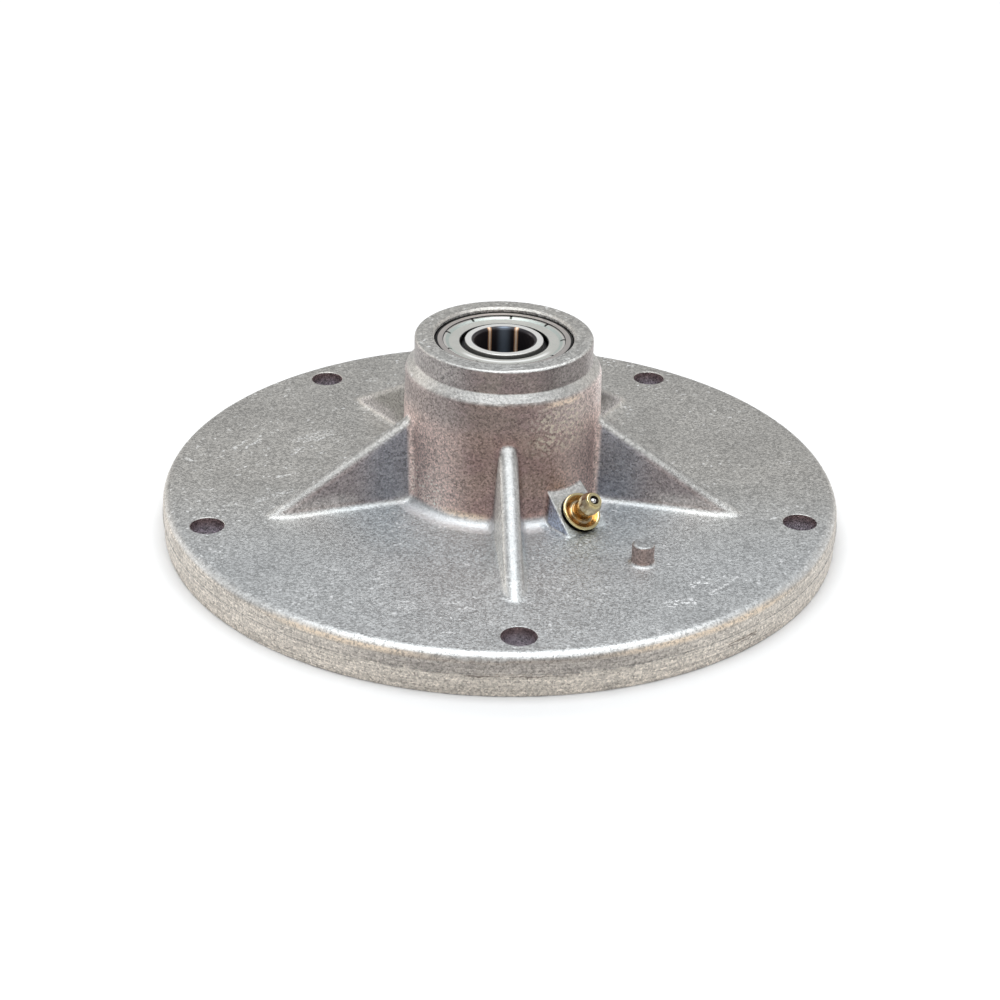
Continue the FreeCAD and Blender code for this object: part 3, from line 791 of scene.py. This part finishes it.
def dress_all():
    """Materials of every CAD node."""
    balls_in_bearing = 8
    turned_light = (0.30, 0.27, 0.25, 1)
    turned_dark = (0.16, 0.14, 0.13, 1)
    cage_light = (0.50, 0.49, 0.47, 1)
    cage_dark = (0.34, 0.33, 0.32, 1)
    spring_light = (0.58, 0.58, 0.58, 1)
    spring_dark = (0.38, 0.38, 0.38, 1)
    inner = bearing_ring("inner_ring_steel", inner=True)
    outer = bearing_ring("outer_ring_steel", inner=False)
    spacer = ground_steel("turned_steel", turned_light, turned_dark, rough=0.3, turns=4000)
    cage = pressed_sheet("cage_steel", cage_light, cage_dark, rough=0.30)
    spring = ground_steel("spring_steel", spring_light, spring_dark, rough=0.25, turns=7000)
    shield = bearing_shield()
    ball = polished_ball()
    dress("spindle_housing", cast_aluminium())
    dress("bearing_spacer", spacer)
    dress("grease_fitting_body", yellow_zinc())
    dress("grease_check_ball", ball)
    dress("grease_check_spring", spring)
    for bearing in ("upper_bearing", "lower_bearing"):
        dress(bearing + "_outer_ring", outer)
        dress(bearing + "_inner_ring", inner)
        dress(bearing + "_shield", shield)
        for piece in ("_cage_shield_half", "_cage_open_half", "_cage_rivets"):
            dress(bearing + piece, cage)
        for index in range(balls_in_bearing):
            dress(bearing + "_ball_" + str(index + 1), ball)


def parting_flash(name, material, first, last, middle, tall, seed):
    """Ragged strip of casting flash on the rim between two azimuths."""
    chance = random.Random(seed)
    root_depth = 0.00045
    set_back = 0.00003
    foot = rim_radius - root_depth
    outside = rim_radius - set_back
    ragged_depth = 0.00012
    bevel = 0.00025
    least_share = 0.15
    most_share = 0.50
    end_share = 0.02
    count = 44
    corners = 4
    points = []
    faces = []
    for index in range(count + 1):
        share = index / count
        angle = math.radians(first + (last - first) * share)
        swell = math.sqrt(math.sin(math.pi * (end_share + (1 - 2 * end_share) * share)))
        low = middle - tall * swell * chance.uniform(least_share, most_share)
        high = middle + tall * swell * chance.uniform(least_share, most_share)
        reach = outside - chance.uniform(0.0, ragged_depth)
        for radius, height in ((foot, low), (reach, low + bevel), (reach, high - bevel), (foot, high)):
            points.append((radius * math.cos(angle), radius * math.sin(angle), height))
        if index < count:
            here = index * corners
            ahead = here + corners
            for side in range(corners - 1):
                faces.append((here + side, ahead + side, ahead + side + 1, here + side + 1))
    end = count * corners
    faces.append(tuple(range(corners)))
    faces.append(tuple(reversed(range(end, end + corners))))
    mesh = bpy.data.meshes.new(name)
    mesh.from_pydata(points, [], faces)
    piece = bpy.data.objects.new(name, mesh)
    bpy.context.scene.collection.objects.link(piece)
    piece.data.materials.append(material)
    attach(piece, "housing")


def add_flash():
    """Flash left at the mould's parting line, in front and at the right."""
    dusty = flash_aluminium()
    parting_flash("parting_flash_front", dusty, first=-97.0, last=-82.0, middle=0.0068, tall=0.0011, seed=3)
    parting_flash("parting_flash_right", dusty, first=-55.0, last=-48.8, middle=0.0046, tall=0.0013, seed=8)


def add_check_spring():
    """Spring of the grease fitting, copied into a mesh of its own and held by the housing in place of the CAD
    node.
    """
    node = frame["nodes"]["grease_check_spring"]
    spring = bpy.data.objects.new("check_spring_coil", node.data.copy())
    bpy.context.scene.collection.objects.link(spring)
    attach(spring, "housing")
    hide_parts("grease_check_spring")
    bpy.context.view_layer.update()
    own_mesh(spring)


def add_floor():
    """Level floor under the flange."""
    mesh = bpy.data.meshes.new("floor")
    far = 6.0
    mesh.from_pydata([(-far, -far, 0), (far, -far, 0), (far, far, 0), (-far, far, 0)], [], [(0, 1, 2, 3)])
    floor = bpy.data.objects.new("floor", mesh)
    bpy.context.scene.collection.objects.link(floor)
    floor.data.materials.append(pale_floor())


def add_light(name, place, target, width, height, power, colour):
    """Soft rectangular light aimed at a point."""
    data = bpy.data.lights.new(name, "AREA")
    data.shape = "RECTANGLE"
    data.size = width
    data.size_y = height
    data.energy = power
    data.color = colour
    light = bpy.data.objects.new(name, data)
    bpy.context.scene.collection.objects.link(light)
    light.location = place
    light.rotation_euler = (Vector(target) - Vector(place)).to_track_quat("-Z", "Y").to_euler()
    return light


def add_lights():
    """Soft cool light from above, weak warm light from the front and the sides, a wash on the far floor."""
    cool = (0.95, 0.98, 1.0)
    warm = (1.0, 0.80, 0.62)
    mild = (1.0, 0.95, 0.90)
    white = (1.0, 1.0, 1.0)
    sky = (0.97, 0.98, 1.0, 1)
    sky_strength = 0.40
    centre = (0, 0, 0.03)
    far_floor = (0, 0.8, 0)
    add_light("top_softbox", (0, -0.10, 1.0), centre, width=1.0, height=0.8, power=9, colour=cool)
    add_light("front_low", (0, -1.6, 0.35), centre, width=2.2, height=0.4, power=3, colour=warm)
    add_light("right_strip", (1.0, 0.5, 0.35), centre, width=0.3, height=0.6, power=1.2, colour=mild)
    add_light("left_strip", (-1.0, 0.5, 0.35), centre, width=0.3, height=0.6, power=2.2, colour=mild)
    wash = add_light("back_wash", (0, 1.1, 0.9), far_floor, width=2.0, height=0.8, power=7, colour=white)
    wash.visible_glossy = False
    world = bpy.data.worlds.new("studio")
    world.use_nodes = True
    background = world.node_tree.nodes["Background"]
    background.inputs["Color"].default_value = sky
    background.inputs["Strength"].default_value = sky_strength
    bpy.context.scene.world = world


def add_camera():
    """Camera at the photograph's viewing angle."""
    azimuth = math.radians(-3.78)
    elevation = math.radians(28.16)
    distance = 0.6525
    roll = math.radians(1.474)
    level = distance * math.cos(elevation)
    place = Vector((level * math.sin(azimuth), -level * math.cos(azimuth), distance * math.sin(elevation)))
    data = bpy.data.cameras.new("camera")
    data.sensor_width = 36.0
    data.lens = 79.23
    data.shift_x = 0.00036
    data.shift_y = 0.0171
    data.clip_start = 0.01
    camera = bpy.data.objects.new("camera", data)
    bpy.context.scene.collection.objects.link(camera)
    turn = (-place).to_track_quat("-Z", "Y").to_matrix()
    camera.matrix_world = Matrix.Translation(place) @ (turn @ Matrix.Rotation(roll, 3, "Z")).to_4x4()
    bpy.context.scene.camera = camera


dress_all()
add_flash()
add_check_spring()
add_floor()
add_lights()
add_camera()
bpy.context.scene.view_settings.view_transform = "Standard"

bpy.context.view_layer.update()
